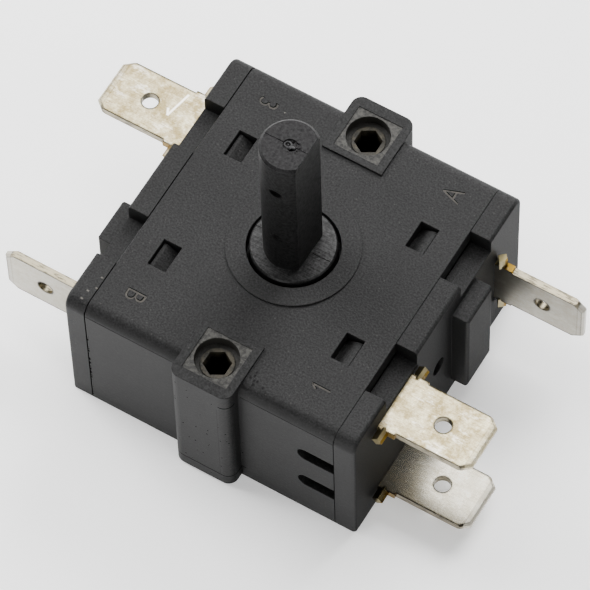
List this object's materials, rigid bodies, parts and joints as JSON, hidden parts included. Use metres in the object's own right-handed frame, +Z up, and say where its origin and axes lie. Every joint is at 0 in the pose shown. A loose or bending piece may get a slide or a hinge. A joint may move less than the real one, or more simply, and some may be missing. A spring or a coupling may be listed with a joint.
{
  "type": "rotary switch",
  "caption": "Panel rotary switch: black moulded housing with a D-section shaft, two screw bosses and push-on tab terminals.",
  "frame": {"origin": "on the shaft's axis, at the underside of the base", "axes": "+Z up along the shaft, +X along the tabs of terminals 1, 2 and A, +Y towards the back boss; drive flat of the shaft faces +X at rest"},
  "size_m": [0.053, 0.0362, 0.0372],
  "materials": {
    "housing_plastic": "fine spark-eroded texture, matt",
    "rotor_plastic": "moulded, satin",
    "plunger_plastic": "moulded, natural",
    "tinned_brass": "tin plated, lightly tarnished",
    "spring_bronze": "rolled",
    "contact_silver": "coined silver alloy",
    "spring_steel": "drawn wire"
  },
  "bodies": {
    "housing": {"base": "housing_plastic", "cover": "housing_plastic", "terminal_1": "tinned_brass", "terminal_2": "tinned_brass", "terminal_3": "tinned_brass", "terminal_a": "tinned_brass", "terminal_b": "tinned_brass", "contact_spring_1": "spring_bronze", "contact_spring_2": "spring_bronze", "contact_spring_3": "spring_bronze", "moving_contact_1": "contact_silver", "moving_contact_2": "contact_silver", "moving_contact_3": "contact_silver", "fixed_contact_1": "contact_silver", "fixed_contact_2": "contact_silver", "fixed_contact_3": "contact_silver", "leaf_rivets": "spring_bronze", "detent_spring_front": "spring_steel", "detent_spring_back": "spring_steel"},
    "rotor": {"rotor": "rotor_plastic"},
    "detent_front": {"detent_plunger_front": "plunger_plastic"},
    "detent_back": {"detent_plunger_back": "plunger_plastic"}
  },
  "joints": [
    {"name": "shaft_turn", "type": "hinge", "parent": "housing", "child": "rotor", "pos_m": [0, 0, 0.0184], "axis": [0, 0, 1], "range_deg": [-135, 0], "deforming": ["contact_spring_1", "contact_spring_2", "contact_spring_3"]},
    {"name": "plunger_front_slide", "type": "slide", "parent": "housing", "child": "detent_front", "axis": [0, 1, 0], "range_m": [0, 0.0006], "stiffness_N_per_m": 600, "springref_m": 0.003, "deforming": ["detent_spring_front"]},
    {"name": "plunger_back_slide", "type": "slide", "parent": "housing", "child": "detent_back", "axis": [0, -1, 0], "range_m": [0, 0.0006], "stiffness_N_per_m": 600, "springref_m": 0.003, "deforming": ["detent_spring_back"]}
  ]
}
